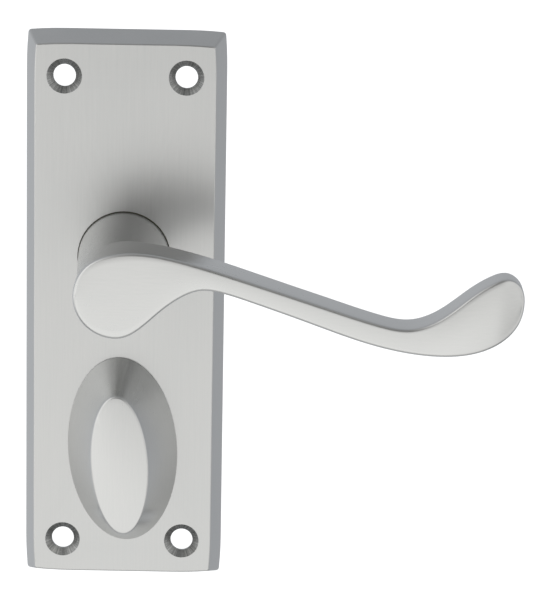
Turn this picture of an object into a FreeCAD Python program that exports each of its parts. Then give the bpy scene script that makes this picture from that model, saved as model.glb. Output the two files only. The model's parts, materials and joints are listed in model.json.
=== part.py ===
import FreeCAD, Part
import math
import os

# A scroll door lever on a bevelled backplate, with a thumbturn below it.
# Millimetres. The front faces -Y, +X is to the right, +Z is up.
# The origin is where the lever's spindle axis meets the door face, y = 0.

V = FreeCAD.Vector

# ---- backplate ----
plate_width = 42.0
plate_height = 118.0
plate_depth = 7.4
plate_wall = 2.0
plate_bevel = 2.08          # how far the front face is set in from the back rim
plate_centre_z = -11.8
corner_pull = 0.3           # how far the sides curve in on their way to a corner
corner_run = 8.0            # length of that curve
corner_radius = 0.75
front_edge_round = 0.3
front_inner_y = -(plate_depth - plate_wall)

screw_pitch_x = 25.4
screw_pitch_z = 100.0
screw_bore_r = 2.35
screw_sink_r = 3.68

# ---- lever ----
neck_r_plate = 9.6
neck_r_head = 8.5
neck_end_y = -7.45
head_r = 8.5
lever_front_y = -46.0
lever_thickness = 13.0
lever_back_y = lever_front_y + lever_thickness
front_round = 0.6
back_round = 1.6
end_roll_r = 90.0           # the leaf-shaped end falls back along this radius
end_roll_x = 64.0
lever_travel = 60.0

# points of the front outline past the head, (x, z): top of the arm out to the tip, then back below
arm_outline = [
    (5.0, 8.95), (13.0, 7.6), (27.0, 3.5), (43.0, -1.6), (53.0, -4.65), (59.0, -5.5),
    (64.6, -3.6), (70.4, 0.7), (75.4, 3.95), (78.5, 4.72), (81.1, 3.0), (81.9, -0.4),
    (80.7, -4.9), (77.0, -8.5), (71.5, -10.6), (66.0, -11.1), (59.0, -10.55), (51.0, -8.8),
    (39.0, -4.75), (27.0, -0.6), (21.0, 1.2), (17.3, 1.6), (13.0, 0.0), (9.0, -2.95),
    (5.1, -6.4),
]
head_angles = (-80, -110, -140, -170, 160, 130, 100)
# how much slimmer the arm gets from behind, (x, depth removed)
back_profile = ((20, 0.0), (34, 1.0), (50, 1.8), (66, 2.0), (83, 3.2))

# ---- stack on the lever's shank, from front to back ----
shank_r = 7.5
shank_flat = 6.6            # half the distance across the shank's flats
shank_end_y = -0.1
shank_groove_r = 6.75
spindle_side = 8.0
spindle_into_lever = 30.0
spindle_beyond_door = 65.0

recess_r = 9.8
recess_y = -6.2
bush_r = 8.6
bush_flange_r = 9.75
bush_flange_y = -7.37
bush_end_y = -2.95
lever_boss_r = 10.6
lever_boss_y = -3.1
thrust_y = (-2.9, -2.6)
drive_y = (-2.55, -1.75)
wave_y = (-1.7, -1.25)
clip_y = (-1.2, -0.4)

# ---- stops and return spring ----
pin_r = 1.2
pin_front_y = -6.28
stop_pin_ring = 14.6
anchor_ring = 14.2
tab_angle = 120.0           # where the drive plate's tab stands at rest
tab_half_width = 1.5
tab_inner_r = 14.2
tab_outer_r = 15.2
wire_r = 0.55
coil_r = 12.1
coil_pitch = 1.2
coil_turns = 1.25
coil_front_y = front_inner_y + 0.1 + wire_r
leg_end_r = 15.6

# ---- thumbturn and the stack on its shank ----
turn_z = -41.6
turn_tilt = -3.8            # degrees about +Y, the rest position of the thumbturn
turn_travel = 97.6
turn_base = (11.6, 20.0)    # half-widths of the oval next to the plate
turn_base_y = -7.6
turn_front = (5.9, 14.8)    # half-widths of the oval at the front
turn_front_y = -21.4
turn_crown_r = 150.0
turn_edge_round = 0.5
turn_shank_r = 5.0
turn_flat = 4.3
turn_shank_end_y = -0.9
turn_groove_r = 4.45
turn_rod_side = 5.0
turn_rod_front_y = -15.0
turn_rod_back_y = 46.0
turn_pin_r = 0.75
turn_pin_y = -5.0
turn_pin_half_length = 4.8

turn_bush_r = 6.2
turn_flange_r = 8.0
turn_flange_y = (-7.3, -6.6)
turn_bush_end_y = -3.5
turn_boss_r = 8.2
turn_boss_y = -3.6
turn_wave_y = (-3.45, -3.0)
turn_stop_y = (-2.95, -2.15)
turn_clip_y = (-2.1, -1.4)
turn_tab_angle = 140.0
turn_tab_half_width = 1.5
lug_half_width = 1.2
lug_inner_r = 9.2

running_gap = 0.05          # radial, round whatever turns


# ---- helpers ----
def tube(r_out, r_in, y0, y1, x=0.0, z=0.0):
    """A ring about an axis along Y, from y0 to y1."""
    outer = Part.makeCylinder(r_out, y1 - y0, V(x, y0, z), V(0, 1, 0))
    if r_in <= 0:
        return outer
    inner = Part.makeCylinder(r_in, y1 - y0 + 2, V(x, y0 - 1, z), V(0, 1, 0))
    return outer.cut(inner)


def block(x0, x1, y0, y1, z0, z1):
    return Part.makeBox(x1 - x0, y1 - y0, z1 - z0, V(x0, y0, z0))


def at_angle(radius, degrees, y, z=0.0):
    a = math.radians(degrees)
    return V(radius * math.cos(a), y, z + radius * math.sin(a))


def turned(shape, degrees, z=0.0):
    """The shape turned about the Y axis through (0, 0, z), counter-clockwise seen from the front."""
    copy = shape.copy()
    copy.rotate(V(0, 0, z), V(0, -1, 0), degrees)
    return copy


def tilted(shape):
    """The thumbturn's pieces rest a few degrees off upright."""
    return turned(shape, -turn_tilt, turn_z)


def angle_of(width, radius):
    """The angle that a width takes up at a radius, in degrees."""
    return math.degrees(math.asin(width / radius))


# ---- where the stops and the spring's legs stand ----
stop_gap = angle_of(tab_half_width + pin_r + 0.03, stop_pin_ring)
rest_stop_angle = tab_angle + stop_gap
pressed_stop_angle = tab_angle - lever_travel - stop_gap
moving_leg_angle = tab_angle - angle_of(tab_half_width + wire_r + 0.03, tab_inner_r)
fixed_leg_angle = moving_leg_angle + 360.0 * coil_turns - 360.0
anchor_angle = fixed_leg_angle - angle_of(pin_r + wire_r + 0.03, anchor_ring)
lug_gap = angle_of(turn_tab_half_width + lug_half_width + 0.05, lug_inner_r)
lug_angles = (turn_tab_angle + lug_gap, turn_tab_angle - turn_travel - lug_gap)


# ---- backplate ----
def tangent_arc(start, end, level, upright):
    """An arc from start to end that leaves start along the side it continues."""
    dx = end.x - start.x
    dz = end.z - start.z
    along = dz if upright else dx
    across = dx if upright else dz
    radius = (along * along + across * across) / (2.0 * abs(across))
    half = math.asin(abs(along) / radius) / 2.0
    run = radius * math.sin(half) * math.copysign(1.0, along)
    drop = radius * (1.0 - math.cos(half)) * math.copysign(1.0, across)
    if upright:
        middle = V(start.x + drop, level, start.z + run)
    else:
        middle = V(start.x + run, level, start.z + drop)
    return Part.Arc(start, middle, end).toShape()


def plate_outline(inset, y):
    """The plate's outline: four straight sides that curve in towards small round corners."""
    hx = plate_width / 2.0 - inset
    hz = plate_height / 2.0 - inset
    r = max(corner_radius - 0.15 * inset, 0.4)
    quarter = [
        V(hx - corner_run, y, hz),
        V(hx - corner_pull - r, y, hz - corner_pull),
        V(hx - corner_pull - 0.29 * r, y, hz - corner_pull - 0.29 * r),
        V(hx - corner_pull, y, hz - corner_pull - r),
        V(hx, y, hz - corner_run),
    ]
    edges = []
    previous = None
    for sx, sz in ((1, 1), (1, -1), (-1, -1), (-1, 1)):
        points = [V(sx * p.x, y, sz * p.z + plate_centre_z) for p in quarter]
        if sx * sz < 0:
            points.reverse()
        upright = sx * sz < 0
        if previous is not None:
            edges.append(Part.makeLine(previous, points[0]))
        edges.append(tangent_arc(points[0], points[1], y, upright))
        edges.append(Part.Arc(points[1], points[2], points[3]).toShape())
        edges.append(tangent_arc(points[4], points[3], y, not upright))
        previous = points[4]
    first = V(hx - corner_run, y, hz + plate_centre_z)
    edges.append(Part.makeLine(previous, first))
    return Part.Wire(Part.__sortEdges__(edges))


def bevel_at(y):
    return plate_bevel * (-y) / plate_depth


def plate_shell():
    """The bevelled plate, hollow from behind."""
    outline_back = plate_outline(0, 0)
    outline_front = plate_outline(plate_bevel, -plate_depth)
    plate = Part.makeLoft([outline_back, outline_front], True, True)
    rim = [e for e in plate.Edges if max(abs(v.Y + plate_depth) for v in e.Vertexes) < 1e-6]
    plate = plate.makeFillet(front_edge_round, rim)
    open_y = 1.0
    hollow = [plate_outline(plate_wall + bevel_at(y), y) for y in (open_y, front_inner_y)]
    return plate.cut(Part.makeLoft(hollow, True, True))


def make_backplate():
    plate = plate_shell()
    face_y = -plate_depth - 1
    # the lever's bore, with a recess that takes the bush flange
    plate = plate.fuse(tube(lever_boss_r, 0, front_inner_y - 0.5, lever_boss_y))
    plate = plate.cut(tube(recess_r, 0, face_y, recess_y))
    plate = plate.cut(tube(bush_r + 0.02, 0, face_y, 1))
    # the thumbturn's bore, with a recess for its bush
    plate = plate.fuse(tube(turn_boss_r, 0, front_inner_y - 0.5, turn_boss_y, 0, turn_z))
    plate = plate.cut(tube(turn_flange_r + 0.1, 0, face_y, turn_flange_y[1], 0, turn_z))
    plate = plate.cut(tube(turn_bush_r + 0.02, 0, face_y, 1, 0, turn_z))
    # cast stops for the thumbturn's washer
    for a in lug_angles:
        low = turn_z - lug_half_width
        high = turn_z + lug_half_width
        lug = block(lug_inner_r, 12.4, front_inner_y - 0.5, -2.0, low, high)
        plate = plate.fuse(turned(lug, a, turn_z))
    # blind holes that hold the steel pins
    for ring_r, a in (
        (stop_pin_ring, rest_stop_angle),
        (stop_pin_ring, pressed_stop_angle),
        (anchor_ring, anchor_angle),
    ):
        c = at_angle(ring_r, a, 0)
        plate = plate.cut(tube(pin_r + 0.01, 0, pin_front_y - 0.02, 0, c.x, c.z))
    # countersunk fixing holes
    sink = screw_sink_r - screw_bore_r
    over = 0.5
    for sx in (-1, 1):
        for sz in (-1, 1):
            x = sx * screw_pitch_x / 2.0
            z = plate_centre_z + sz * screw_pitch_z / 2.0
            plate = plate.cut(tube(screw_bore_r, 0, face_y, 1, x, z))
            top = V(x, -plate_depth - over, z)
            cone = Part.makeCone(screw_sink_r + over, screw_bore_r, sink + over, top, V(0, 1, 0))
            plate = plate.cut(cone)
    return plate.removeSplitter()


# ---- lever ----
def lever_front_wire():
    """The lever seen from the front: a round head, a falling arm and a leaf-shaped end."""
    points = [V(x, lever_front_y, z) for x, z in arm_outline]
    points += [at_angle(head_r, a, lever_front_y) for a in head_angles]
    line = Part.BSplineCurve()
    line.interpolate(Points=points, PeriodicFlag=True)
    knots = line.getKnots()
    last = len(knots) - 1
    return Part.Wire([line.toShape(knots[i], knots[min(i + 2, last)]) for i in range(0, last, 2)])


def behind_lever():
    """What is cut from the back: the arm is slimmer than the head, and the end slimmer still."""
    start_x = back_profile[0][0]
    end_x, end_depth = back_profile[-1]
    line = Part.BSplineCurve()
    line.interpolate(
        Points=[V(x, lever_back_y - depth, 0) for x, depth in back_profile],
        InitialTangent=V(1, 0, 0),
        FinalTangent=V(1, -0.2, 0),
    )
    corners = [
        V(end_x, lever_back_y - end_depth, 0),
        V(end_x + 7, lever_back_y - end_depth, 0),
        V(end_x + 7, lever_back_y + 5, 0),
        V(start_x, lever_back_y + 5, 0),
        V(start_x, lever_back_y, 0),
    ]
    edges = [line.toShape()]
    edges += [Part.makeLine(a, b) for a, b in zip(corners, corners[1:])]
    solid = Part.Face(Part.Wire(edges)).extrude(V(0, 0, 60))
    solid.translate(V(0, 0, -30))
    return solid


def ahead_of_end():
    """What is cut from the front of the leaf-shaped end, so that it falls back towards the tip."""
    axis = V(end_roll_x, lever_front_y + end_roll_r, -30)
    drum = Part.makeCylinder(end_roll_r, 60, axis, V(0, 0, 1))
    slab = block(end_roll_x, end_roll_x + 30, lever_front_y - 5, lever_front_y + 20, -30, 30)
    return slab.cut(drum)


def lever_bar():
    """The head, arm and end, rounded softly behind and crisply in front."""
    bar = Part.Face(lever_front_wire()).extrude(V(0, lever_thickness, 0))
    bar = bar.cut(behind_lever())
    rear = [e for e in bar.Edges if e.BoundBox.YMin > lever_front_y + 7.0 and e.BoundBox.XLength > 0.5]
    bar = bar.makeFillet(back_round, rear)
    bar = bar.cut(ahead_of_end())
    front = [e for e in bar.Edges if e.BoundBox.YMax < lever_front_y + 2.5 and e.BoundBox.XLength > 0.1]
    return bar.makeFillet(front_round, front)


def make_lever():
    body = lever_bar()
    # the neck tapers from the plate to the head and runs on inside it to the front rounding
    forward = V(0, -1, 0)
    neck_length = neck_end_y - lever_back_y
    neck = Part.makeCone(neck_r_plate, neck_r_head, neck_length, V(0, neck_end_y, 0), forward)
    core_length = lever_thickness - 1.0
    core = Part.makeCone(neck_r_head, neck_r_head - 0.3, core_length, V(0, lever_back_y, 0), forward)
    body = body.fuse([neck, core])
    body = body.fuse(tube(shank_r, 0, neck_end_y - 1, shank_end_y))
    body = body.cut(tube(shank_r + 1, shank_groove_r, clip_y[0] - 0.03, clip_y[1] + 0.03))
    for side in (-1, 1):
        z = side * (shank_flat + 2.0)
        body = body.cut(block(-9, 9, drive_y[0] - 0.1, 1, z - 2.0, z + 2.0))
    half = spindle_side / 2.0 + running_gap
    return body.cut(block(-half, half, -spindle_into_lever - 1.0, 1, -half, half))


# ---- washers, clips, pins and rods ----
def double_d(r_out, r_hole, flat, y0, y1, z=0.0):
    """A flat washer whose hole has two flats."""
    hole = tube(r_hole, 0, y0 - 1, y1 + 1, 0, z)
    hole = hole.common(block(-r_hole - 1, r_hole + 1, y0 - 1, y1 + 1, z - flat, z + flat))
    return tube(r_out, 0, y0, y1, 0, z).cut(hole)


def circlip(r_groove, r_out, y0, y1, z, opening):
    """An open ring with an eye at each end."""
    eye_x = r_groove + 1.35
    eye_z = opening + 0.9
    ring = tube(r_out, r_groove + 0.02, y0, y1, 0, z)
    ring = ring.fuse([tube(1.25, 0, y0, y1, eye_x, z + side * eye_z) for side in (-1, 1)])
    ring = ring.cut(tube(r_groove + 0.02, 0, y0 - 1, y1 + 1, 0, z))
    ring = ring.cut(block(0, r_out + 5, y0 - 1, y1 + 1, z - opening, z + opening))
    for side in (-1, 1):
        ring = ring.cut(tube(0.5, 0, y0 - 1, y1 + 1, eye_x, z + side * eye_z))
    return ring


def dished_washer(r_in, r_out, y0, y1, z=0.0):
    """A spring washer of 0.25 mm strip, slightly conical: its outer rim is nearer the front."""
    thick = 0.25
    dish = y1 - y0 - thick
    corners = [V(r_in, y0 + dish, z), V(r_out, y0, z), V(r_out, y0 + thick, z), V(r_in, y1, z)]
    section = Part.Face(Part.makePolygon(corners + [corners[0]]))
    return section.revolve(V(0, 0, z), V(0, 1, 0), 360)


def square_rod(side, y0, y1, z=0.0):
    half = side / 2.0
    rod = block(-half, half, y0, y1, z - half, z + half)
    return rod.makeChamfer(0.35, rod.Edges)


def flanged_bush(r_out, r_in, flange_r, flange_y, end_y, z=0.0):
    sleeve = tube(r_out, r_in, flange_y[0], end_y, 0, z)
    flange = tube(flange_r, r_in, flange_y[0], flange_y[1], 0, z)
    return sleeve.fuse(flange).removeSplitter()


def steel_pin(ring_r, angle, back_y):
    c = at_angle(ring_r, angle, 0)
    return tube(pin_r, 0, pin_front_y, back_y, c.x, c.z)


def make_drive_plate():
    """The washer that turns with the lever; its bent tab carries the spring's moving leg."""
    plate = double_d(10.4, shank_r + 0.05, shank_flat + 0.05, drive_y[0], drive_y[1])
    arm = block(9.0, tab_outer_r, drive_y[0], drive_y[1], -tab_half_width, tab_half_width)
    tab = block(tab_inner_r, tab_outer_r, -4.9, drive_y[1], -tab_half_width, tab_half_width)
    return plate.fuse([turned(arm, tab_angle), turned(tab, tab_angle)]).removeSplitter()


def make_return_spring():
    """A torsion spring: an open coil with a straight leg out at each end."""
    height = coil_pitch * coil_turns
    helix = Part.makeHelix(coil_pitch, height, coil_r)
    slope = coil_pitch / (2.0 * math.pi * coil_r)
    ring = Part.Wire(Part.makeCircle(wire_r, V(coil_r, 0, 0), V(0, 1, slope)))
    coil = Part.Wire(helix.Edges).makePipeShell([ring], True, True)
    coil.rotate(V(0, 0, 0), V(1, 0, 0), 90)
    coil = turned(coil, moving_leg_angle)
    coil.translate(V(0, coil_front_y + height, 0))
    pieces = []
    for angle, y in ((moving_leg_angle, coil_front_y + height), (fixed_leg_angle, coil_front_y)):
        bend = at_angle(coil_r, angle, y)
        out = at_angle(1.0, angle, 0)
        pieces.append(Part.makeCylinder(wire_r, leg_end_r - coil_r, bend, out))
        pieces.append(Part.makeSphere(wire_r, bend))
    return coil.fuse(pieces)


# ---- thumbturn ----
def oval(half_widths, y):
    centre = V(0, y, turn_z)
    far = V(0, y, turn_z + half_widths[1])
    near = V(half_widths[0], y, turn_z)
    return Part.Wire([Part.Ellipse(far, near, centre).toShape()])


def cross_pin(radius, half_length):
    return Part.makeCylinder(radius, 2 * half_length, V(-half_length, turn_pin_y, turn_z), V(1, 0, 0))


def make_turn_knob():
    """A tapered oval grip with a slightly crowned front, and the round shank behind it."""
    extra = 1.0
    growth = extra / (turn_base_y - turn_front_y)
    front = [f - growth * (b - f) for b, f in zip(turn_base, turn_front)]
    grip = Part.makeLoft([oval(turn_base, turn_base_y), oval(front, turn_front_y - extra)], True, True)
    ball = Part.makeSphere(turn_crown_r, V(0, turn_front_y - 0.4 + turn_crown_r, turn_z))
    grip = grip.common(ball)
    rim = [e for e in grip.Edges if e.BoundBox.YMax < turn_front_y + 1.5 and e.Length > 20]
    grip = grip.makeFillet(turn_edge_round, rim)
    knob = grip.fuse(tube(turn_shank_r, 0, turn_base_y - 1, turn_shank_end_y, 0, turn_z))
    groove_y = (turn_clip_y[0] - 0.03, turn_clip_y[1] + 0.03)
    knob = knob.cut(tube(turn_shank_r + 1, turn_groove_r, groove_y[0], groove_y[1], 0, turn_z))
    for side in (-1, 1):
        z = turn_z + side * (turn_flat + 2.0)
        knob = knob.cut(block(-7, 7, turn_stop_y[0] - 0.1, 1, z - 2.0, z + 2.0))
    half = turn_rod_side / 2.0 + running_gap
    knob = knob.cut(block(-half, half, turn_rod_front_y - 0.5, 1, turn_z - half, turn_z + half))
    return knob.cut(cross_pin(turn_pin_r + 0.03, 6.0))


def make_turn_stop_washer():
    washer = double_d(7.9, turn_shank_r + 0.05, turn_flat + 0.05, turn_stop_y[0], turn_stop_y[1], turn_z)
    low = turn_z - turn_tab_half_width
    high = turn_z + turn_tab_half_width
    tab = block(7.0, 12.0, turn_stop_y[0], turn_stop_y[1], low, high)
    return washer.fuse(turned(tab, turn_tab_angle + turn_tilt, turn_z)).removeSplitter()


def make_turn_rod():
    rod = square_rod(turn_rod_side, turn_rod_front_y, turn_rod_back_y, turn_z)
    return rod.cut(cross_pin(turn_pin_r + 0.03, 6.0))


fixed = {
    "backplate": make_backplate(),
    "lever_bush": flanged_bush(
        bush_r, shank_r + running_gap, bush_flange_r, (bush_flange_y, recess_y), bush_end_y
    ),
    "stop_pin_rest": steel_pin(stop_pin_ring, rest_stop_angle, -4.0),
    "stop_pin_pressed": steel_pin(stop_pin_ring, pressed_stop_angle, -4.0),
    "spring_anchor_pin": steel_pin(anchor_ring, anchor_angle, -3.9),
    "return_spring": make_return_spring(),
    "turn_bush": flanged_bush(
        turn_bush_r, turn_shank_r + running_gap, turn_flange_r, turn_flange_y, turn_bush_end_y, turn_z
    ),
}
with_lever = {
    "lever": make_lever(),
    "lever_thrust_washer": tube(10.2, shank_r + 0.05, thrust_y[0], thrust_y[1]),
    "spring_drive_plate": make_drive_plate(),
    "lever_spring_washer": dished_washer(shank_r + 0.1, 10.0, wave_y[0], wave_y[1]),
    "lever_circlip": circlip(shank_groove_r, 8.8, clip_y[0], clip_y[1], 0.0, 1.6),
    "lever_spindle": square_rod(spindle_side, -spindle_into_lever, spindle_beyond_door),
}
with_turn = {
    "turn_knob": make_turn_knob(),
    "turn_spring_washer": dished_washer(turn_shank_r + 0.1, 7.6, turn_wave_y[0], turn_wave_y[1], turn_z),
    "turn_stop_washer": make_turn_stop_washer(),
    "turn_circlip": circlip(turn_groove_r, 6.3, turn_clip_y[0], turn_clip_y[1], turn_z, 1.3),
    "turn_spindle": make_turn_rod(),
    "turn_spindle_pin": cross_pin(turn_pin_r, turn_pin_half_length),
}

os.makedirs("parts", exist_ok=True)
for name, shape in fixed.items():
    shape.exportStep("parts/" + name + ".step")
for name, shape in with_lever.items():
    shape.exportStep("parts/" + name + ".step")
for name, shape in with_turn.items():
    tilted(shape).exportStep("parts/" + name + ".step")
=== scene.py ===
import json
import math

import bmesh
import bpy
import numpy as np
from mathutils import Matrix, Vector


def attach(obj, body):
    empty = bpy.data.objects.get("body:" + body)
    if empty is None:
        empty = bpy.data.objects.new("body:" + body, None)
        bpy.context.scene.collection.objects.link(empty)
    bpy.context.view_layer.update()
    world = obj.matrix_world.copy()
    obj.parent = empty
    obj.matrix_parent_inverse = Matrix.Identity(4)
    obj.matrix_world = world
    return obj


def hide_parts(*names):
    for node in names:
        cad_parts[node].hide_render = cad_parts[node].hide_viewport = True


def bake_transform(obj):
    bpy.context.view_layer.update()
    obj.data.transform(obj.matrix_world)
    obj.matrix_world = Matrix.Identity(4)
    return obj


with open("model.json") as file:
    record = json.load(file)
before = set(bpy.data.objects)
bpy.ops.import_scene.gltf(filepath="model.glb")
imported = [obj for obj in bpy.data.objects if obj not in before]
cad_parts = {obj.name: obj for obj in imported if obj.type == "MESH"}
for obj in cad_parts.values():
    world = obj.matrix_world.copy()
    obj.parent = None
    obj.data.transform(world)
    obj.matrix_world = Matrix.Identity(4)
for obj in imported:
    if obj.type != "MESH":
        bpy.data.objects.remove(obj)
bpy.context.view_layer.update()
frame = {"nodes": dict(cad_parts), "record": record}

MM = 0.001

# ---------------------------------------------------------------- driving values, in mm and degrees
# camera
CAMERA_TARGET = (32.03, 0.0, -10.32)
CAMERA_AZIMUTH = 0.117
CAMERA_ELEVATION = 12.776
CAMERA_ROLL = 0.995
CAMERA_DISTANCE = 754.15
CAMERA_LENS = 212.9

# lever: x and z of its outline seen from the front, and the angles that carry it round the head
FRONT_Y = -46.0
HEAD_R = 8.5
TIP_X = 81.9
OUTLINE = [
    (5.0, 8.95), (13.0, 7.6), (27.0, 3.5), (43.0, -1.6), (53.0, -4.65), (59.0, -5.5),
    (64.6, -3.6), (70.4, 0.7), (75.4, 3.95), (78.5, 4.72), (81.1, 3.0), (TIP_X, -0.4),
    (80.7, -4.9), (77.0, -8.5), (71.5, -10.6), (66.0, -11.1), (59.0, -10.55), (51.0, -8.8),
    (39.0, -4.75), (27.0, -0.6), (21.0, 1.2), (17.3, 1.6), (13.0, 0.0), (9.0, -2.95),
    (5.1, -6.4),
]
HEAD_ANGLES = (-80, -110, -140, -170, 160, 130, 100)
LEVER_EDGE_R = 0.55
NECK_PLATE_R = 9.59
NECK_END_Y = -7.45
SHANK_R = 7.5
SHANK_FLAT = 6.6
SHANK_END_Y = -0.1

# thumbturn: half width and half height of its oval, at the plate and at the front
TURN_Z = -41.6
TURN_LEAN = 3.8
TURN_BASE = (11.6, 20.0)
TURN_FRONT = (5.9, 14.8)
TURN_BASE_Y = -7.6
TURN_FRONT_Y = -21.4
TURN_RISE = 0.32

# countersinks: half the hole spacing each way, how far their middle is below the spindle, their radius,
# and how far back their bare metal reaches
SINK_X = 12.7
SINK_Z = 50.0
SINK_DROP = 11.8
SINK_R = 3.69
SINK_BACK_Y = -5.7

# torsion spring
COIL_R = 12.1
COIL_TURNS = 1.25
COIL_PITCH = 1.2
WIRE_R = 0.55
LEG_R = 15.6
COIL_FRONT_Y = -4.75

# how bright the studio is at each height of the sky, straight ahead of the handle and off to its sides
BRIGHTEST = 3.0
AHEAD = [
    (-1.0, 0.5), (-0.72, 0.62), (-0.5, 1.08), (-0.36, 1.27), (-0.24, 1.18),
    (-0.14, 0.95), (-0.04, 0.55), (0.1, 0.24), (0.25, 0.10), (1.0, 0.3),
]
BESIDE = [
    (-1.0, 0.18), (-0.7, 0.2), (-0.48, 0.55), (-0.25, 1.1),
    (0.0, 1.1), (0.3, 1.05), (0.6, 0.9), (1.0, 0.45),
]
FLOOR_Z = -320.0


# ---------------------------------------------------------------- camera
def make_camera():
    target = Vector(CAMERA_TARGET) * MM
    azimuth = math.radians(CAMERA_AZIMUTH)
    elevation = math.radians(CAMERA_ELEVATION)
    roll = math.radians(CAMERA_ROLL)
    distance = CAMERA_DISTANCE * MM
    back = Vector((
        math.sin(azimuth) * math.cos(elevation),
        -math.cos(azimuth) * math.cos(elevation),
        math.sin(elevation),
    ))
    right = (-back).cross(Vector((0, 0, 1))).normalized()
    up = right.cross(-back)
    across = right * math.cos(roll) + up * math.sin(roll)
    upward = up * math.cos(roll) - right * math.sin(roll)
    data = bpy.data.cameras.new("camera")
    data.lens = CAMERA_LENS
    data.sensor_width = 36.0
    data.clip_start = 0.05
    data.clip_end = 50.0
    cam = bpy.data.objects.new("camera", data)
    rotation = Matrix((across, upward, back)).transposed().to_4x4()
    cam.matrix_world = Matrix.Translation(target + back * distance) @ rotation
    bpy.context.scene.collection.objects.link(cam)
    bpy.context.scene.camera = cam


# ---------------------------------------------------------------- node helpers
def new_material(name):
    mat = bpy.data.materials.new(name)
    mat.use_nodes = True
    tree = mat.node_tree
    tree.nodes.clear()
    out = tree.nodes.new("ShaderNodeOutputMaterial")
    shader = tree.nodes.new("ShaderNodeBsdfPrincipled")
    tree.links.new(shader.outputs["BSDF"], out.inputs["Surface"])
    return mat, tree, shader


def node(tree, kind, inputs=None, **settings):
    n = tree.nodes.new(kind)
    for key, value in settings.items():
        setattr(n, key, value)
    for key, value in (inputs or {}).items():
        if isinstance(value, bpy.types.NodeSocket):
            tree.links.new(value, n.inputs[key])
        else:
            n.inputs[key].default_value = value
    return n


def maths(tree, operation, a, b=0.0, clamp=False):
    return node(tree, "ShaderNodeMath", {0: a, 1: b}, operation=operation, use_clamp=clamp).outputs[0]


def remap(tree, value, a, b, c, d, smooth=False):
    kind = "SMOOTHSTEP" if smooth else "LINEAR"
    ends = {"Value": value, "From Min": a, "From Max": b, "To Min": c, "To Max": d}
    n = node(tree, "ShaderNodeMapRange", ends, interpolation_type=kind)
    return n.outputs["Result"]


def noise(tree, coords, scale, stretch=(1, 1, 1), detail=4.0, rough=0.5):
    mapped = node(tree, "ShaderNodeMapping", {"Vector": coords, "Scale": stretch}).outputs["Vector"]
    values = {"Vector": mapped, "Scale": scale, "Detail": detail, "Roughness": rough}
    return node(tree, "ShaderNodeTexNoise", values).outputs["Fac"]


def mix_colour(tree, fac, a, b):
    n = node(tree, "ShaderNodeMix", data_type="RGBA")
    for socket, value in ((n.inputs[0], fac), (n.inputs[6], a), (n.inputs[7], b)):
        if isinstance(value, bpy.types.NodeSocket):
            tree.links.new(value, socket)
        elif isinstance(value, tuple):
            socket.default_value = (*value, 1.0)
        else:
            socket.default_value = value
    return n.outputs[2]


# ---------------------------------------------------------------- materials
def satin_chrome(name, tone, rough, brush, brush_depth, brush_scale, sinks=False):
    """Satin chrome plate: fine brushing, cloudy variation of colour and gloss, brighter rubbed edges.

    sinks adds the bare turned countersinks of the backplate, with painted reflection sectors in them.
    """
    mat, tree, shader = new_material(name)
    coords = node(tree, "ShaderNodeTexCoord").outputs["Object"]
    cloud = noise(tree, coords, 38.0, detail=3.0)
    streak = noise(tree, coords, brush_scale, brush, detail=5.0, rough=0.6)
    grain = noise(tree, coords, 5200.0, detail=2.0)
    dark = (tone * 0.955, tone * 0.962, tone * 0.955)
    light = (tone * 1.045, tone * 1.045, tone * 1.035)
    blend = maths(tree, "ADD", maths(tree, "MULTIPLY", cloud, 0.55), maths(tree, "MULTIPLY", streak, 0.45))
    colour = mix_colour(tree, remap(tree, blend, 0.35, 0.65, 0.0, 1.0), dark, light)
    edge = node(tree, "ShaderNodeNewGeometry").outputs["Pointiness"]
    worn = remap(tree, edge, 0.53, 0.62, 0.0, 0.35)
    colour = mix_colour(tree, worn, colour, (tone * 1.12, tone * 1.12, tone * 1.11))
    value = maths(tree, "ADD", maths(tree, "MULTIPLY", cloud, 0.5), maths(tree, "MULTIPLY", streak, 0.5))
    roughness = remap(tree, value, 0.3, 0.7, rough - 0.035, rough + 0.045)
    height = maths(tree, "ADD", maths(tree, "MULTIPLY", streak, 0.8), maths(tree, "MULTIPLY", grain, 0.2))
    if sinks:
        colour, roughness, height = turned_sinks(tree, coords, colour, roughness, height)
    bump = node(tree, "ShaderNodeBump", {"Height": height, "Strength": 1.0, "Distance": brush_depth})
    tree.links.new(colour, shader.inputs["Base Color"])
    tree.links.new(roughness, shader.inputs["Roughness"])
    tree.links.new(bump.outputs["Normal"], shader.inputs["Normal"])
    shader.inputs["Metallic"].default_value = 1.0
    return mat


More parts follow.
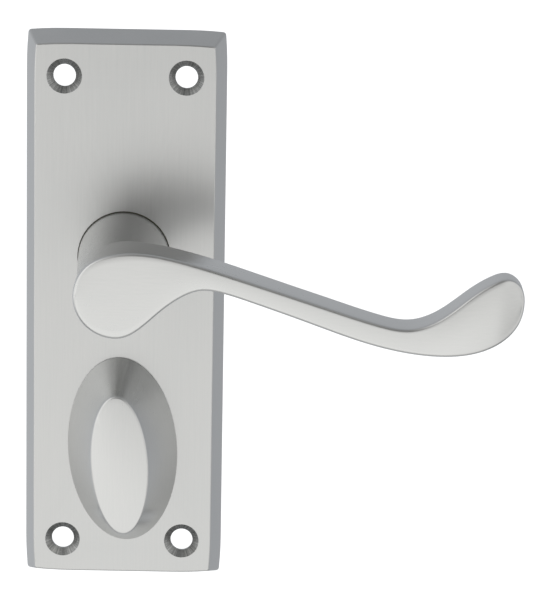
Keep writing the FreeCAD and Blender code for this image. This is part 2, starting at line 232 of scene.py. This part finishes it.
def turned_sinks(tree, coords, colour, roughness, height):
    """The countersinks are cut after polishing, so they show bare turned metal with fine rings, and light
    and dark sectors round each one that are a painted reflection.
    """
    parts = node(tree, "ShaderNodeSeparateXYZ", {"Vector": coords}).outputs
    x = maths(tree, "SUBTRACT", maths(tree, "ABSOLUTE", parts["X"]), SINK_X * MM)
    z = maths(tree, "ADD", parts["Z"], SINK_DROP * MM)
    z = maths(tree, "SUBTRACT", maths(tree, "ABSOLUTE", z), SINK_Z * MM)
    squares = maths(tree, "ADD", maths(tree, "MULTIPLY", x, x), maths(tree, "MULTIPLY", z, z))
    radius = maths(tree, "SQRT", squares)
    inside = maths(tree, "LESS_THAN", radius, SINK_R * MM)
    in_front = maths(tree, "LESS_THAN", parts["Y"], SINK_BACK_Y * MM)
    inside = maths(tree, "MULTIPLY", inside, in_front)
    angle = maths(tree, "ARCTAN2", z, x)
    out_from_middle = maths(tree, "MULTIPLY", radius, 9000.0)
    round_it = maths(tree, "MULTIPLY", angle, 0.8)
    ring = node(tree, "ShaderNodeCombineXYZ", {"X": out_from_middle, "Y": round_it}).outputs[0]
    lathe = node(tree, "ShaderNodeTexNoise", {"Vector": ring, "Scale": 1.0, "Detail": 3.0}).outputs["Fac"]
    # Painted reflection: light and dark sectors by angle round each countersink stand in for how the turned
    # cone reflects its surroundings.
    spoke = node(tree, "ShaderNodeCombineXYZ", {"X": maths(tree, "MULTIPLY", angle, 9.0)}).outputs[0]
    painted_sector_noise = node(tree, "ShaderNodeTexNoise", {"Vector": spoke, "Scale": 1.0, "Detail": 4.0}).outputs["Fac"]
    painted_reflection_sectors = remap(tree, painted_sector_noise, 0.35, 0.65, 0.0, 1.0)
    sink_colour_painted_sectors = mix_colour(tree, painted_reflection_sectors, (0.28, 0.285, 0.28), (0.60, 0.60, 0.59))
    colour = mix_colour(tree, inside, colour, sink_colour_painted_sectors)
    cut = remap(tree, lathe, 0.3, 0.7, 0.22, 0.36)
    rough_mix = node(tree, "ShaderNodeMix", {0: inside, 2: roughness, 3: cut}, data_type="FLOAT").outputs[0]
    cut_height = maths(tree, "MULTIPLY", lathe, 1.6)
    heights = {0: inside, 2: height, 3: cut_height}
    high_mix = node(tree, "ShaderNodeMix", heights, data_type="FLOAT").outputs[0]
    return colour, rough_mix, high_mix


def plain_metal(name, tone, rough, tint=(1.0, 1.0, 1.0), scale=700.0, stretch=(1, 1, 1), spots=0.25):
    """Plated or spring steel: drawn or tumbled surface with small stains."""
    mat, tree, shader = new_material(name)
    coords = node(tree, "ShaderNodeTexCoord").outputs["Object"]
    cloud = noise(tree, coords, 160.0, detail=4.0)
    fine = noise(tree, coords, scale, stretch, detail=5.0)
    base = tuple(tone * t for t in tint)
    low = tuple(tone * t * 0.86 for t in tint)
    colour = mix_colour(tree, remap(tree, cloud, 0.35, 0.7, 0.0, 1.0), low, base)
    stain = remap(tree, fine, 0.58, 0.75, 0.0, spots)
    colour = mix_colour(tree, stain, colour, tuple(tone * t * 0.45 for t in tint))
    roughness = remap(tree, fine, 0.3, 0.7, rough - 0.06, rough + 0.1)
    bump = node(tree, "ShaderNodeBump", {"Height": fine, "Strength": 1.0, "Distance": 0.00002})
    tree.links.new(colour, shader.inputs["Base Color"])
    tree.links.new(roughness, shader.inputs["Roughness"])
    tree.links.new(bump.outputs["Normal"], shader.inputs["Normal"])
    shader.inputs["Metallic"].default_value = 1.0
    return mat


def nylon(name):
    """Dark olive moulded nylon, slightly waxy."""
    mat, tree, shader = new_material(name)
    coords = node(tree, "ShaderNodeTexCoord").outputs["Object"]
    cloud = noise(tree, coords, 260.0, detail=3.0)
    grain = noise(tree, coords, 3800.0, detail=2.0)
    colour = mix_colour(tree, cloud, (0.030, 0.029, 0.018), (0.055, 0.053, 0.033))
    roughness = remap(tree, grain, 0.3, 0.7, 0.42, 0.58)
    bump = node(tree, "ShaderNodeBump", {"Height": grain, "Strength": 1.0, "Distance": 0.00002})
    tree.links.new(colour, shader.inputs["Base Color"])
    tree.links.new(roughness, shader.inputs["Roughness"])
    tree.links.new(bump.outputs["Normal"], shader.inputs["Normal"])
    return mat


# ---------------------------------------------------------------- curves
def closed_spline(points, per_span=24):
    """A smooth closed curve through the points, as a dense list of points."""
    p = np.array(points, float)
    gaps = np.linalg.norm(np.roll(p, -1, 0) - p, axis=1)
    n = len(p)
    system = np.zeros((n, n))
    right = np.zeros((n, 2))
    for i in range(n):
        h0 = gaps[i - 1]
        h1 = gaps[i]
        system[i, i - 1] = h0
        system[i, i] = 2.0 * (h0 + h1)
        system[i, (i + 1) % n] = h1
        right[i] = 6.0 * ((p[(i + 1) % n] - p[i]) / h1 - (p[i] - p[i - 1]) / h0)
    m = np.linalg.solve(system, right)
    out = []
    for i in range(n):
        j = (i + 1) % n
        h = gaps[i]
        for k in range(per_span):
            t = h * k / per_span
            u = h - t
            out.append(
                m[i] * u ** 3 / (6 * h) + m[j] * t ** 3 / (6 * h)
                + (p[i] / h - m[i] * h / 6) * u + (p[j] / h - m[j] * h / 6) * t
            )
    return np.array(out)


def smoothstep(a, b, x):
    t = min(max((x - a) / (b - a), 0.0), 1.0)
    return t * t * (3 - 2 * t)


def mesh_object(name, verts, faces, body, material, replaced=(), sharp=28.0):
    mesh = bpy.data.meshes.new(name)
    mesh.from_pydata([tuple(float(c) * MM for c in v) for v in verts], [], faces)
    bm = bmesh.new()
    bm.from_mesh(mesh)
    bmesh.ops.remove_doubles(bm, verts=bm.verts, dist=1e-6)
    bmesh.ops.dissolve_degenerate(bm, edges=bm.edges, dist=1e-7)
    bmesh.ops.recalc_face_normals(bm, faces=bm.faces)
    bm.to_mesh(mesh)
    bm.free()
    mesh.polygons.foreach_set("use_smooth", [True] * len(mesh.polygons))
    mesh.set_sharp_from_angle(angle=math.radians(sharp))
    obj = bpy.data.objects.new(name, mesh)
    bpy.context.scene.collection.objects.link(obj)
    mesh.materials.append(material)
    if body:
        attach(obj, body)
    if replaced:
        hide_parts(*replaced)
    return obj


def bridge(faces, a, b, closed=True):
    count = len(a)
    for i in range(count if closed else count - 1):
        j = (i + 1) % count
        faces.append((a[i], a[j], b[j], b[i]))


# ---------------------------------------------------------------- lever
def lever_front(x):
    """The front face falls back towards the tip, and a little more at the very end."""
    start = 64.0
    radius = 90.0
    if x <= start:
        return FRONT_Y
    roll = radius - math.sqrt(radius ** 2 - (x - start) ** 2)
    return FRONT_Y + roll + 0.04 * max(0.0, x - 76.5) ** 1.7


def lever_back(x):
    depth = 13.0 - 1.0 * smoothstep(18, 40, x) - 1.0 * smoothstep(38, 66, x) - 1.2 * smoothstep(66, 84, x)
    return FRONT_Y + depth


def lever_crown(x):
    """How far the middle of the front face stands out past its edges."""
    return 0.05 - 0.03 * smoothstep(10, 24, x) + 0.12 * smoothstep(60, 72, x)


def lever_stations():
    left = -HEAD_R
    right = TIP_X
    xs = []
    near = 14
    for i in range(1, near):
        xs.append(left + 9.0 * (1 - math.cos(math.pi / 2 * i / near)))
    mid = np.linspace(left + 9.0, right - 8.0, 84)
    xs += list(mid)
    for i in range(near - 1, 0, -1):
        xs.append(right - 8.0 * (1 - math.cos(math.pi / 2 * i / near)))
    return xs


def lever_arm():
    """Head, arm and end as one closed skin: a band round the outline, with caps front and back."""
    head = [(HEAD_R * math.cos(math.radians(a)), HEAD_R * math.sin(math.radians(a))) for a in HEAD_ANGLES]
    curve = closed_spline(OUTLINE + head)
    first = int(np.argmin(curve[:, 0]))
    last = int(np.argmax(curve[:, 0]))
    n = len(curve)
    top = [curve[i % n] for i in range(first, last + 1 if last > first else last + n + 1)]
    low = [curve[i % n] for i in range(last, first + 1 if first > last else first + n + 1)]
    top = np.array(top)
    low = np.array(low)[::-1]
    xs = lever_stations()
    top_z = np.interp(xs, top[:, 0], top[:, 1])
    low_z = np.interp(xs, low[:, 0], low[:, 1])
    loop = [curve[first]] + [np.array((x, z)) for x, z in zip(xs, top_z)]
    loop += [curve[last % n]] + [np.array((x, z)) for x, z in zip(xs[::-1], low_z[::-1])]
    loop = np.array(loop)
    count = len(loop)
    along = np.roll(loop, -1, 0) - np.roll(loop, 1, 0)
    along /= np.linalg.norm(along, axis=1)[:, None]
    inward = np.stack([along[:, 1], -along[:, 0]], 1)
    verts = []
    faces = []

    def back_round(i):
        x, z = loop[i]
        clear = smoothstep(HEAD_R + 0.1, HEAD_R + 2.5, math.hypot(x, z))
        return 0.05 + 2.1 * clear

    def ring(offsets, depths):
        start = len(verts)
        for i in range(count):
            x, z = loop[i] + inward[i] * offsets[i]
            verts.append((x, depths[i], z))
        return list(range(start, start + count))

    rows = []
    front_r = LEVER_EDGE_R
    steps = 5
    fronts = [lever_front(p[0]) + lever_crown(p[0]) for p in loop]
    backs = [lever_back(p[0]) for p in loop]
    rounds = [back_round(i) for i in range(count)]
    for k in range(steps + 1):
        a = math.pi / 2 * k / steps
        off = front_r * (1 - math.sin(a))
        rows.append(ring([off] * count, [f + front_r * (1 - math.cos(a)) for f in fronts]))
    for t in (0.33, 0.66):
        rows.append(ring([0.0] * count, [
            (f + front_r) * (1 - t) + (b - r) * t for f, b, r in zip(fronts, backs, rounds)]))
    steps = 8
    for k in range(steps + 1):
        a = math.pi / 2 * k / steps
        rows.append(ring([r * (1 - math.cos(a)) for r in rounds],
                         [b - r * (1 - math.sin(a)) for b, r in zip(backs, rounds)]))
    for a, b in zip(rows, rows[1:]):
        bridge(faces, a, b)

    def cap(row, lift, curved, across=14):
        """Rungs from the top side of the ring to the low side, pinched at both ends."""
        half = count // 2
        grid = []
        for i in range(1, half):
            upper = np.array(verts[row[i]])
            lower = np.array(verts[row[count - i]])
            x = (upper[0] + lower[0]) / 2
            line = [row[i]]
            for k in range(1, across):
                t = k / across
                p = upper * (1 - t) + lower * t
                if curved:
                    p[1] -= lift(x) * (1 - (2 * t - 1) ** 2)
                line.append(len(verts))
                verts.append(tuple(p))
            line.append(row[count - i])
            grid.append(line)
        for a, b in zip(grid, grid[1:]):
            for k in range(across):
                faces.append((a[k], a[k + 1], b[k + 1], b[k]))
        for k in range(across):
            faces.append((row[0], grid[0][k + 1], grid[0][k]))
            faces.append((row[half], grid[-1][k], grid[-1][k + 1]))

    cap(rows[0], lambda x: min(lever_crown(x), 0.35), True)
    cap(rows[-1], lambda x: -0.5 * smoothstep(14, 30, x), True)
    return verts, faces


def neck_and_shank(verts, faces):
    """The round neck, and behind it the shank with its flats, clip groove and square hole."""
    count = 96
    flat = SHANK_FLAT
    hole = 4.05

    def ring(y, radius, cut=None, square=None):
        start = len(verts)
        for i in range(count):
            a = 2 * math.pi * i / count
            c = math.cos(a)
            s = math.sin(a)
            r = radius
            if square:
                r = square / max(abs(c), abs(s))
            if cut and abs(s) * r > cut:
                r = cut / abs(s)
            verts.append((r * c, y, r * s))
        return list(range(start, start + count))

    rows = [ring(-44.6, 8.0), ring(-40.0, 8.25)]
    taper_y = -33.0
    for k in range(13):
        t = k / 12
        y = taper_y + t * (NECK_END_Y - 0.17 - taper_y)
        rows.append(ring(y, HEAD_R + t * (NECK_PLATE_R - HEAD_R)))
    rows.append(ring(NECK_END_Y - 0.05, NECK_PLATE_R - 0.02))
    rows.append(ring(NECK_END_Y, NECK_PLATE_R - 0.09))
    rows.append(ring(NECK_END_Y, SHANK_R))
    rows.append(ring(-2.65, SHANK_R))
    rows.append(ring(-2.65, SHANK_R, flat))
    rows.append(ring(-1.23, SHANK_R, flat))
    rows.append(ring(-1.23, SHANK_R - 0.75, flat))
    rows.append(ring(-0.37, SHANK_R - 0.75, flat))
    rows.append(ring(-0.37, SHANK_R, flat))
    rows.append(ring(-0.3, SHANK_R, flat))
    rows.append(ring(SHANK_END_Y, SHANK_R - 0.2, flat - 0.2))
    rows.append(ring(SHANK_END_Y, 1.0, None, hole + 0.15))
    rows.append(ring(-0.25, 1.0, None, hole))
    rows.append(ring(-31.0, 1.0, None, hole))
    for a, b in zip(rows, rows[1:]):
        bridge(faces, a, b)
    for row, y in ((rows[0], -44.6), (rows[-1], -31.0)):
        centre = len(verts)
        verts.append((0.0, y, 0.0))
        for i in range(count):
            faces.append((row[i], row[(i + 1) % count], centre))


# ---------------------------------------------------------------- thumbturn
def thumbturn():
    centre_z = TURN_Z
    tilt = math.radians(TURN_LEAN)
    count = 120
    base = TURN_BASE
    front = TURN_FRONT
    base_y = TURN_BASE_Y
    front_y = TURN_FRONT_Y
    verts = []
    faces = []

    def ring(hx, hz, y, square=None, cut=None):
        start = len(verts)
        for i in range(count):
            a = 2 * math.pi * i / count
            c = math.cos(a)
            s = math.sin(a)
            if square:
                r = square / max(abs(c), abs(s))
                x = r * c
                z = r * s
            else:
                x = hx * c
                z = hz * s
                if cut and abs(z) > cut:
                    x = x * cut / abs(z)
                    z = math.copysign(cut, z)
            wx = x * math.cos(tilt) - z * math.sin(tilt)
            wz = x * math.sin(tilt) + z * math.cos(tilt)
            verts.append((wx, y, wz + centre_z))
        return list(range(start, start + count))

    rows = []
    height = base_y - front_y
    slope = ((base[0] - front[0]) / height, (base[1] - front[1]) / height)
    rows.append(ring(base[0] - 0.2, base[1] - 0.2, base_y))
    for y in np.linspace(base_y - 0.15, front_y + 0.45, 16):
        t = base_y - y
        rows.append(ring(base[0] - slope[0] * t, base[1] - slope[1] * t, y))
    last_x = base[0] - slope[0] * (base_y - front_y - 0.45)
    last_z = base[1] - slope[1] * (base_y - front_y - 0.45)
    edge = 0.5
    start = math.radians(20)
    for k in range(1, 7):
        a = math.radians(20 + 70 * k / 6)
        inset = edge * (math.cos(start) - math.cos(a)) + 0.05 * k / 6
        y = front_y + 0.45 - edge * (math.sin(a) - math.sin(start))
        rows.append(ring(last_x - inset, last_z - inset, y))
    rim_x = last_x - edge * math.cos(start) - 0.05
    rim_z = last_z - edge * math.cos(start) - 0.05
    rim_y = front_y + 0.45 - edge * (1 - math.sin(start))
    rise = TURN_RISE
    for k in range(11, 0, -1):
        f = k / 12
        rows.append(ring(rim_x * f, rim_z * f, rim_y - rise * (1 - f * f)))
    for a, b in zip(rows, rows[1:]):
        bridge(faces, a, b)
    tip = len(verts)
    verts.append((0.0, rim_y - rise, centre_z))
    for i in range(count):
        faces.append((rows[-1][i], rows[-1][(i + 1) % count], tip))
    # behind the grip: the shank with its flats, clip groove and square hole
    inner = [rows[0]]
    for y, r, cut, square in (
        (-7.6, 5.0, None, None), (-3.05, 5.0, None, None), (-3.05, 5.0, 4.3, None), (-2.13, 5.0, 4.3, None),
        (-2.13, 4.45, 4.3, None), (-1.37, 4.45, 4.3, None), (-1.37, 5.0, 4.3, None), (-1.05, 5.0, 4.3, None),
        (-0.9, 4.85, 4.2, None), (-0.9, 1.0, None, 2.7), (-1.05, 1.0, None, 2.55), (-15.5, 1.0, None, 2.55),
    ):
        inner.append(ring(r, r, y, square, cut))
    for a, b in zip(inner, inner[1:]):
        bridge(faces, a, b)
    centre = len(verts)
    verts.append((0.0, -15.5, centre_z))
    for i in range(count):
        faces.append((inner[-1][i], inner[-1][(i + 1) % count], centre))
    return verts, faces


# ---------------------------------------------------------------- spring
def spring_skin(start_angle, turns, coil_r, wire_r, start_y, pitch, leg_out):
    """Wire that comes in along one leg, winds round and leaves along the other."""
    path = []
    a0 = math.radians(start_angle)
    corner = 1.0
    path.append((leg_out, a0, start_y))
    path.append(((leg_out + coil_r) / 2 + 0.4, a0, start_y))
    path.append((coil_r + corner, a0, start_y))
    steps = int(48 * turns)
    sweep = math.radians(360 * turns) - math.radians(6)
    for k in range(steps + 1):
        f = k / steps
        path.append((coil_r, a0 + math.radians(3) + f * sweep, start_y - f * pitch * turns))
    a1 = a0 + math.radians(360 * turns)
    end_y = start_y - pitch * turns
    path.append((coil_r + corner, a1, end_y))
    path.append(((leg_out + coil_r) / 2 + 0.4, a1, end_y))
    path.append((leg_out, a1, end_y))
    points = [Vector((r * math.cos(a), y, r * math.sin(a))) for r, a, y in path]
    verts = []
    faces = []
    rows = []
    around = 16
    up = Vector((0, 1, 0))
    for i, p in enumerate(points):
        before = points[max(i - 1, 0)]
        after = points[min(i + 1, len(points) - 1)]
        tangent = (after - before).normalized()
        side = tangent.cross(up).normalized()
        top = side.cross(tangent)
        start = len(verts)
        for k in range(around):
            a = 2 * math.pi * k / around
            verts.append(tuple(p + side * wire_r * math.cos(a) + top * wire_r * math.sin(a)))
        rows.append(list(range(start, start + around)))
    for a, b in zip(rows, rows[1:]):
        bridge(faces, a, b)
    for row in (rows[0], rows[-1]):
        faces.append(tuple(row))
    return verts, faces


# ---------------------------------------------------------------- stage
def make_stage():
    size = 14.0
    mesh = bpy.data.meshes.new("floor")
    z = FLOOR_Z * MM
    corners = [(-size, -size, z), (size, -size, z), (size, size, z), (-size, size, z)]
    mesh.from_pydata(corners, [], [(0, 1, 2, 3)])
    floor = bpy.data.objects.new("floor", mesh)
    bpy.context.scene.collection.objects.link(floor)
    mat, tree, shader = new_material("floor")
    shader.inputs["Base Color"].default_value = (0.85, 0.85, 0.85, 1)
    shader.inputs["Roughness"].default_value = 0.9
    shader.inputs["Emission Color"].default_value = (1, 1, 1, 1)
    shader.inputs["Emission Strength"].default_value = 0.75
    mesh.materials.append(mat)
    floor.visible_glossy = False


def brightness(tree, height, stops):
    """A value that follows the stops, each a height and how bright it is there."""
    ramp = node(tree, "ShaderNodeValToRGB", {"Fac": remap(tree, height, -1, 1, 0, 1)})
    bar = ramp.color_ramp
    bar.interpolation = "B_SPLINE"
    while len(bar.elements) < len(stops):
        bar.elements.new(0.5)
    for element, (z, v) in zip(bar.elements, stops):
        element.position = (z + 1) / 2
        level = v / BRIGHTEST
        element.color = (level, level, level, 1)
    return maths(tree, "MULTIPLY", ramp.outputs["Color"], BRIGHTEST)


def make_world():
    world = bpy.data.worlds.new("studio")
    world.use_nodes = True
    tree = world.node_tree
    tree.nodes.clear()
    out = tree.nodes.new("ShaderNodeOutputWorld")
    back = tree.nodes.new("ShaderNodeBackground")
    tree.links.new(back.outputs[0], out.inputs["Surface"])
    coords = node(tree, "ShaderNodeTexCoord").outputs["Generated"]
    parts = node(tree, "ShaderNodeSeparateXYZ", {"Vector": coords}).outputs
    ahead = brightness(tree, parts["Z"], AHEAD)
    beside = brightness(tree, parts["Z"], BESIDE)
    beside = maths(tree, "MULTIPLY", beside, remap(tree, parts["X"], -0.6, -0.3, 1.0, 1.5))
    beside = maths(tree, "MULTIPLY", beside, remap(tree, parts["X"], -0.2, 0.35, 1.0, 0.55))
    off_middle = maths(tree, "ABSOLUTE", maths(tree, "SUBTRACT", parts["X"], 0.05))
    out_wide = remap(tree, off_middle, 0.13, 0.64, 0.0, 1.0, True)
    front = node(tree, "ShaderNodeMix", {0: out_wide, 2: ahead, 3: beside}, data_type="FLOAT").outputs[0]
    rear = remap(tree, parts["X"], -1, 1, 0.62, 0.43)
    rear = maths(tree, "MULTIPLY", rear, remap(tree, parts["Z"], -0.2, 0.9, 1.05, 0.75))
    side = remap(tree, parts["Y"], -0.45, 0.25, 0.0, 1.0, True)
    light = node(tree, "ShaderNodeMix", {0: side, 2: front, 3: rear}, data_type="FLOAT").outputs[0]
    tint = mix_colour(tree, side, (1.0, 1.0, 0.985), (0.97, 1.0, 1.04))
    scaled = node(tree, "ShaderNodeVectorMath", {0: tint}, operation="SCALE")
    tree.links.new(light, scaled.inputs["Scale"])
    tree.links.new(scaled.outputs[0], back.inputs["Color"])
    bpy.context.scene.world = world


def area_light(name, place, target, size, power, colour=(1, 1, 1)):
    data = bpy.data.lights.new(name, "AREA")
    data.shape = "RECTANGLE"
    data.size, data.size_y = size
    data.energy = power
    data.color = colour
    obj = bpy.data.objects.new(name, data)
    obj.location = place
    direction = Vector(target) - Vector(place)
    obj.rotation_euler = direction.to_track_quat("-Z", "Y").to_euler()
    bpy.context.scene.collection.objects.link(obj)
    return obj


# ---------------------------------------------------------------- build
make_camera()
make_stage()
make_world()
bpy.context.scene.view_settings.view_transform = "Standard"
area_light("key", (-0.9, -0.9, 0.7), (0.0, 0, 0), (0.9, 0.9), 0.6)

brushed_up = (1.0, 1.0, 0.03)
plate_chrome = satin_chrome("plate_chrome", 0.63, 0.32, brushed_up, 0.000006, 2600.0, sinks=True)
lever_chrome = satin_chrome("lever_chrome", 0.69, 0.29, (0.12, 1.0, 1.0), 0.0000012, 2400.0)
turn_chrome = satin_chrome("turn_chrome", 0.67, 0.30, (1.0, 1.0, 0.08), 0.0000012, 2400.0)
plated = plain_metal("plated_steel", 0.55, 0.34, (1.0, 0.985, 0.93))
spring = plain_metal("spring_steel", 0.30, 0.36, (0.96, 0.98, 1.0))
olive = nylon("nylon")

slots = {s["node"]: s["material_slot"] for s in frame["record"]["subparts"]}
by_slot = {"satin_chrome": plate_chrome, "nylon": olive, "spring_steel": spring, "plated_steel": plated}
for name, obj in frame["nodes"].items():
    if not obj.material_slots:
        obj.data.materials.append(None)
    for s in obj.material_slots:
        s.material = by_slot[slots[name]]

verts, faces = lever_arm()
neck_and_shank(verts, faces)
mesh_object("lever_casting", verts, faces, "lever", lever_chrome, ("lever",))

verts, faces = thumbturn()
mesh_object("turn_grip", verts, faces, "turn", turn_chrome, ("turn_knob",))

moving_leg = 120.0 - math.degrees(math.asin((1.5 + WIRE_R + 0.03) / 14.2))
coil_back = COIL_FRONT_Y + COIL_TURNS * COIL_PITCH
verts, faces = spring_skin(moving_leg, COIL_TURNS, COIL_R, WIRE_R, coil_back, COIL_PITCH, LEG_R)
coil = mesh_object("torsion_spring", verts, faces, None, spring, ("return_spring",))
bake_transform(coil)
